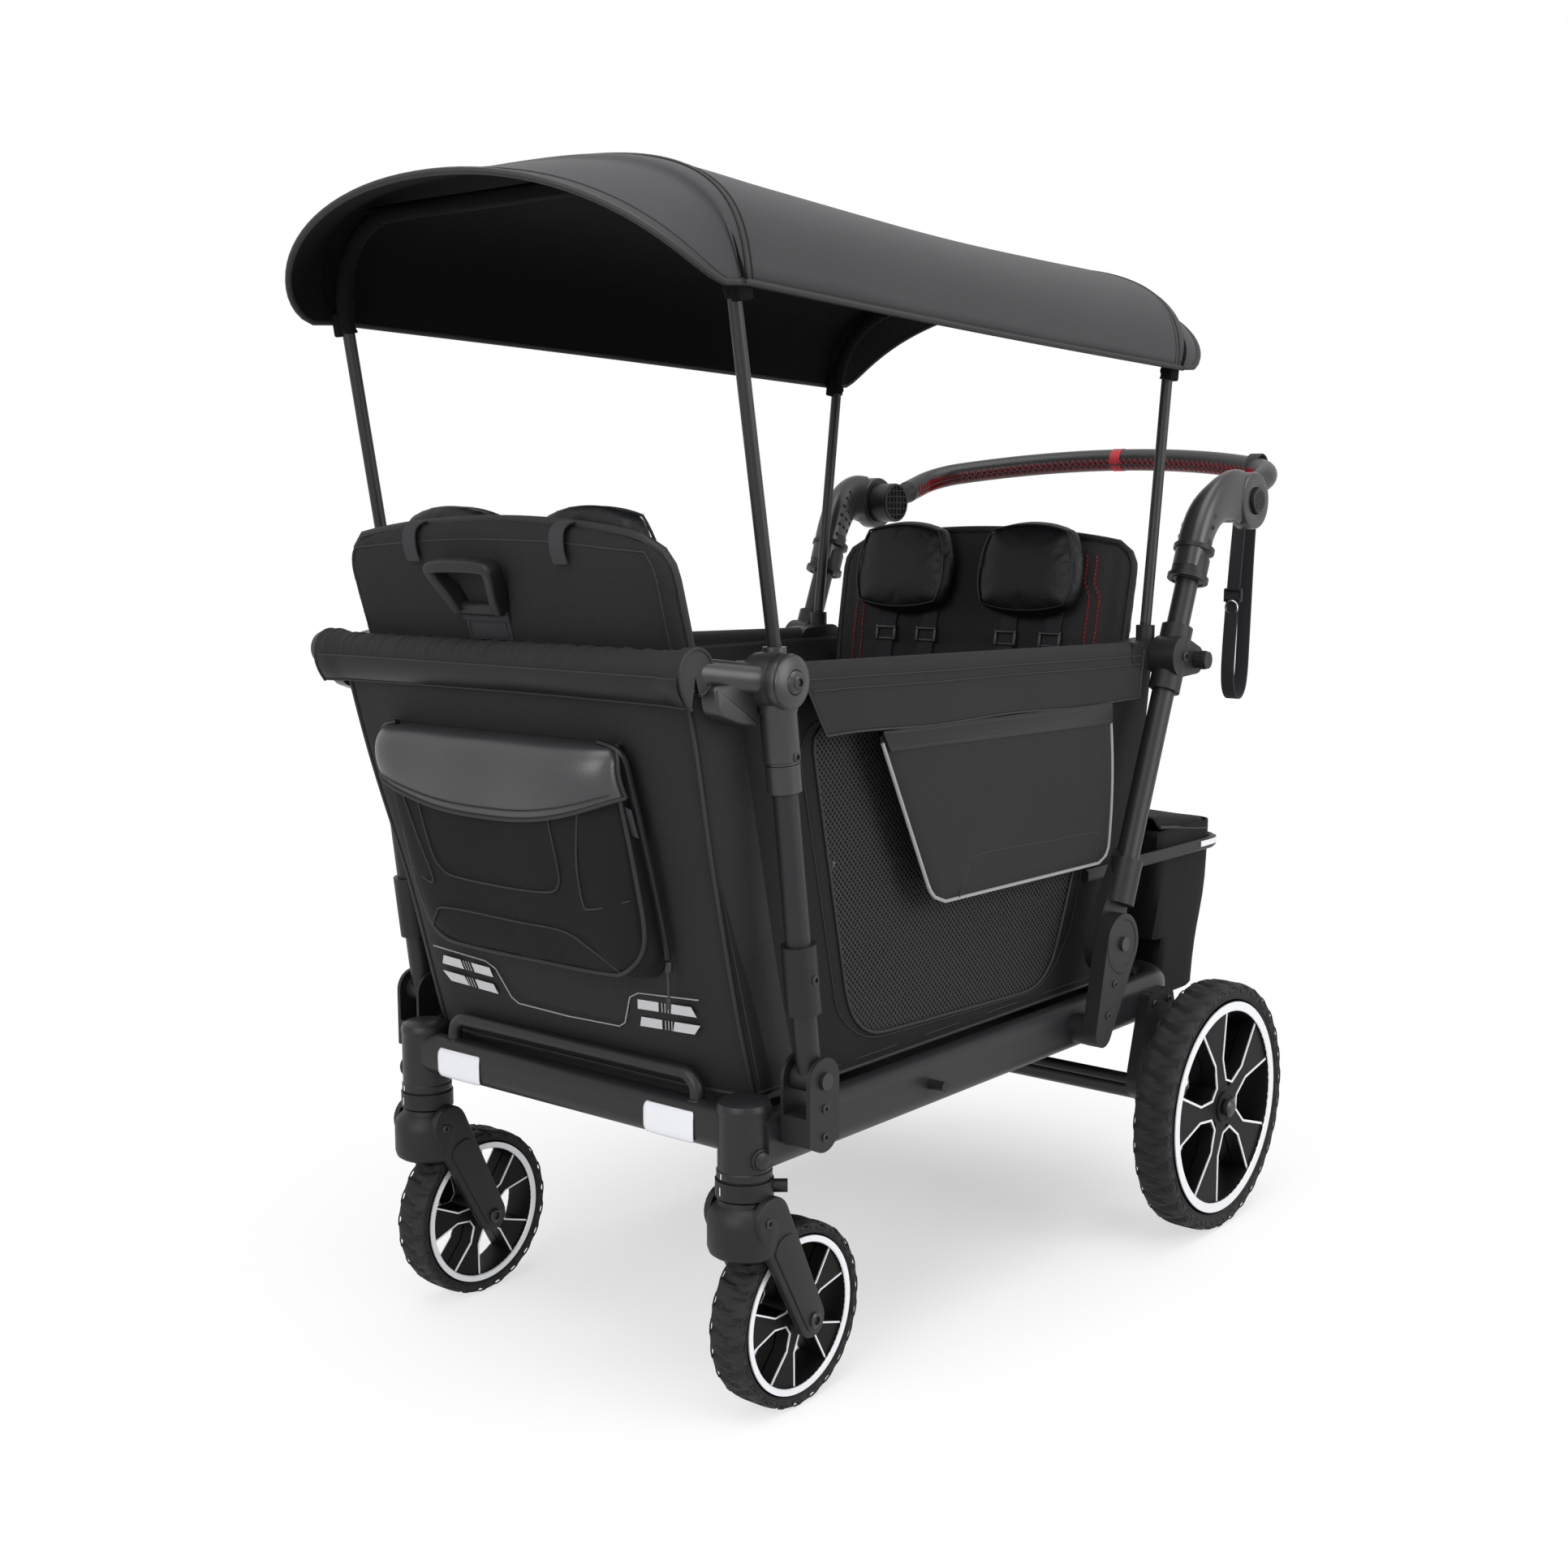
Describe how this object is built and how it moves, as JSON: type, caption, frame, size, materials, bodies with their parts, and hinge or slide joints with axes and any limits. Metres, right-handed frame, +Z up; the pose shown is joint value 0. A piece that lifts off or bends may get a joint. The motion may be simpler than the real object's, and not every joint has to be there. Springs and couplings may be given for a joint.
{
  "type": "stroller_wagon",
  "caption": "Four-wheeled stroller wagon with a black fabric tub, facing padded seats, arched canopy, front casters and a tilting push handle.",
  "frame": {"origin": "middle of the wagon's footprint on the floor", "axes": "+X the wagon's left side, +Y its rear, where the push handle is, +Z up"},
  "size_m": [0.748, 1.3662, 1.286],
  "materials": {
    "frame_paint": "matte",
    "black_plastic": "matte",
    "steel": "satin",
    "tub_cloth": "woven",
    "mesh_cloth": "mesh",
    "seat_cloth": "woven",
    "canopy_cloth": "woven",
    "grip_leather": "soft",
    "webbing": "webbing",
    "rim_plastic": "gloss",
    "tyre_foam": "matte"
  },
  "bodies": {
    "chassis": {"base_rails": "frame_paint", "front_crossbeam": "frame_paint", "rear_crossbeam": "frame_paint", "caster_posts": "frame_paint", "grab_bar": "frame_paint", "floor_deck": "black_plastic", "axle_brackets": "frame_paint", "rear_axle": "steel", "pivot_brackets": "black_plastic", "hinge_bases": "black_plastic", "pivot_pins": "steel", "side_pegs": "black_plastic", "tub_front_wall": "tub_cloth", "tub_side_walls": "mesh_cloth", "tub_rear_wall": "tub_cloth", "front_bag": "tub_cloth", "front_seat_base": "seat_cloth", "rear_seat_base": "seat_cloth", "basket_frame": "frame_paint", "storage_basket": "tub_cloth"},
    "handle_frame": {"rear_uprights": "frame_paint", "hinge_knuckles": "black_plastic", "rail_clamps": "black_plastic", "handle_elbows": "black_plastic"},
    "handle": {"handlebar": "frame_paint", "handle_grip": "grip_leather", "wrist_strap": "webbing"},
    "handle_button_left_body": {"handle_button_left": "black_plastic"},
    "handle_button_right_body": {"handle_button_right": "black_plastic"},
    "fold_collar_left_body": {"fold_collar_left": "black_plastic"},
    "fold_collar_right_body": {"fold_collar_right": "black_plastic"},
    "clamp_knob_left_body": {"clamp_knob_left": "black_plastic"},
    "clamp_knob_right_body": {"clamp_knob_right": "black_plastic"},
    "front_frame": {"front_uprights": "frame_paint", "upright_sleeves": "black_plastic", "corner_hubs": "black_plastic", "front_rail": "tub_cloth"},
    "top_rails": {"side_rails": "frame_paint", "rail_brackets": "black_plastic", "side_flaps": "tub_cloth"},
    "canopy": {"canopy_cloth": "canopy_cloth", "canopy_hoops": "frame_paint"},
    "front_seat": {"front_seat_back": "seat_cloth", "front_headrests": "grip_leather", "seat_pull_handle": "black_plastic"},
    "rear_seat": {"rear_seat_back": "seat_cloth", "rear_headrests": "grip_leather"},
    "caster_left": {"caster_fork_left": "black_plastic"},
    "caster_right": {"caster_fork_right": "black_plastic"},
    "caster_lock_left_body": {"caster_lock_left": "black_plastic"},
    "caster_lock_right_body": {"caster_lock_right": "black_plastic"},
    "front_wheel_left": {"front_rim_left": "rim_plastic", "front_tyre_left": "tyre_foam"},
    "front_wheel_right": {"front_rim_right": "rim_plastic", "front_tyre_right": "tyre_foam"},
    "rear_wheel_left": {"rear_rim_left": "rim_plastic", "rear_tyre_left": "tyre_foam"},
    "rear_wheel_right": {"rear_rim_right": "rim_plastic", "rear_tyre_right": "tyre_foam"},
    "brake": {"brake_pedal": "black_plastic"}
  },
  "joints": [
    {"name": "frame_fold", "type": "hinge", "parent": "chassis", "child": "handle_frame", "pos_m": [0, 0.135, 0.41], "axis": [1, 0, 0], "range_deg": [0, 80], "deforming": ["tub_front_wall", "tub_side_walls", "tub_rear_wall", "front_bag", "side_flaps"]},
    {"name": "front_fold", "type": "hinge", "parent": "chassis", "child": "front_frame", "pos_m": [0, -0.468, 0.371], "axis": [1, 0, 0], "range_deg": [0, 72]},
    {"name": "rail_level", "type": "hinge", "parent": "front_frame", "child": "top_rails", "pos_m": [0, -0.522, 0.78], "axis": [1, 0, 0], "range_deg": [-72, 0]},
    {"name": "canopy_lift", "type": "slide", "parent": "front_frame", "child": "canopy", "axis": [0, 0, 1], "range_m": [0, 0.3]},
    {"name": "front_seat_fold", "type": "hinge", "parent": "chassis", "child": "front_seat", "pos_m": [0, -0.478, 0.45], "axis": [1, 0, 0], "range_deg": [-70, 0]},
    {"name": "rear_seat_fold", "type": "hinge", "parent": "chassis", "child": "rear_seat", "pos_m": [0, 0.224, 0.45], "axis": [1, 0, 0], "range_deg": [0, 70]},
    {"name": "handle_tilt", "type": "hinge", "parent": "handle_frame", "child": "handle", "pos_m": [0, 0.456, 0.959], "axis": [1, 0, 0], "range_deg": [-45, 30]},
    {"name": "handle_button_left_press", "type": "slide", "parent": "handle_frame", "child": "handle_button_left_body", "axis": [-1, 0, 0], "range_m": [0, 0.005], "stiffness_N_per_m": 600, "springref_m": -0.004},
    {"name": "handle_button_right_press", "type": "slide", "parent": "handle_frame", "child": "handle_button_right_body", "axis": [1, 0, 0], "range_m": [0, 0.005], "stiffness_N_per_m": 600, "springref_m": -0.004},
    {"name": "fold_collar_left_pull", "type": "slide", "parent": "handle_frame", "child": "fold_collar_left_body", "axis": [0, -0.3746, -0.9272], "range_m": [0, 0.02], "stiffness_N_per_m": 500, "springref_m": -0.012},
    {"name": "fold_collar_right_pull", "type": "slide", "parent": "handle_frame", "child": "fold_collar_right_body", "axis": [0, -0.3746, -0.9272], "range_m": [0, 0.02], "stiffness_N_per_m": 500, "springref_m": -0.012},
    {"name": "clamp_knob_left_pull", "type": "slide", "parent": "handle_frame", "child": "clamp_knob_left_body", "axis": [1, 0, 0], "range_m": [0, 0.008], "stiffness_N_per_m": 500, "springref_m": -0.004},
    {"name": "clamp_knob_right_pull", "type": "slide", "parent": "handle_frame", "child": "clamp_knob_right_body", "axis": [-1, 0, 0], "range_m": [0, 0.008], "stiffness_N_per_m": 500, "springref_m": -0.004},
    {"name": "caster_swivel_left", "type": "hinge", "parent": "chassis", "child": "caster_left", "pos_m": [0.247, -0.51, 0.25], "axis": [0, 0, 1], "continuous": true},
    {"name": "caster_swivel_right", "type": "hinge", "parent": "chassis", "child": "caster_right", "pos_m": [-0.247, -0.51, 0.25], "axis": [0, 0, 1], "continuous": true},
    {"name": "caster_lock_left_turn", "type": "hinge", "parent": "chassis", "child": "caster_lock_left_body", "pos_m": [0.247, -0.51, 0.256], "axis": [0, 0, 1], "range_deg": [0, 35]},
    {"name": "caster_lock_right_turn", "type": "hinge", "parent": "chassis", "child": "caster_lock_right_body", "pos_m": [-0.247, -0.51, 0.256], "axis": [0, 0, -1], "range_deg": [0, 35]},
    {"name": "front_wheel_left_spin", "type": "hinge", "parent": "caster_left", "child": "front_wheel_left", "pos_m": [0.247, -0.443, 0.1], "axis": [1, 0, 0], "continuous": true},
    {"name": "front_wheel_right_spin", "type": "hinge", "parent": "caster_right", "child": "front_wheel_right", "pos_m": [-0.247, -0.443, 0.1], "axis": [1, 0, 0], "continuous": true},
    {"name": "rear_wheel_left_spin", "type": "hinge", "parent": "chassis", "child": "rear_wheel_left", "pos_m": [0.348, 0.325, 0.165], "axis": [1, 0, 0], "continuous": true},
    {"name": "rear_wheel_right_spin", "type": "hinge", "parent": "chassis", "child": "rear_wheel_right", "pos_m": [-0.348, 0.325, 0.165], "axis": [1, 0, 0], "continuous": true},
    {"name": "brake_press", "type": "hinge", "parent": "chassis", "child": "brake", "pos_m": [0, 0.24, 0.205], "axis": [1, 0, 0], "range_deg": [-10, 0]}
  ],
  "couplings": [
    {"joint": "front_fold", "follows": "frame_fold", "ratio": 0.9},
    {"joint": "rail_level", "follows": "frame_fold", "ratio": -0.9}
  ]
}
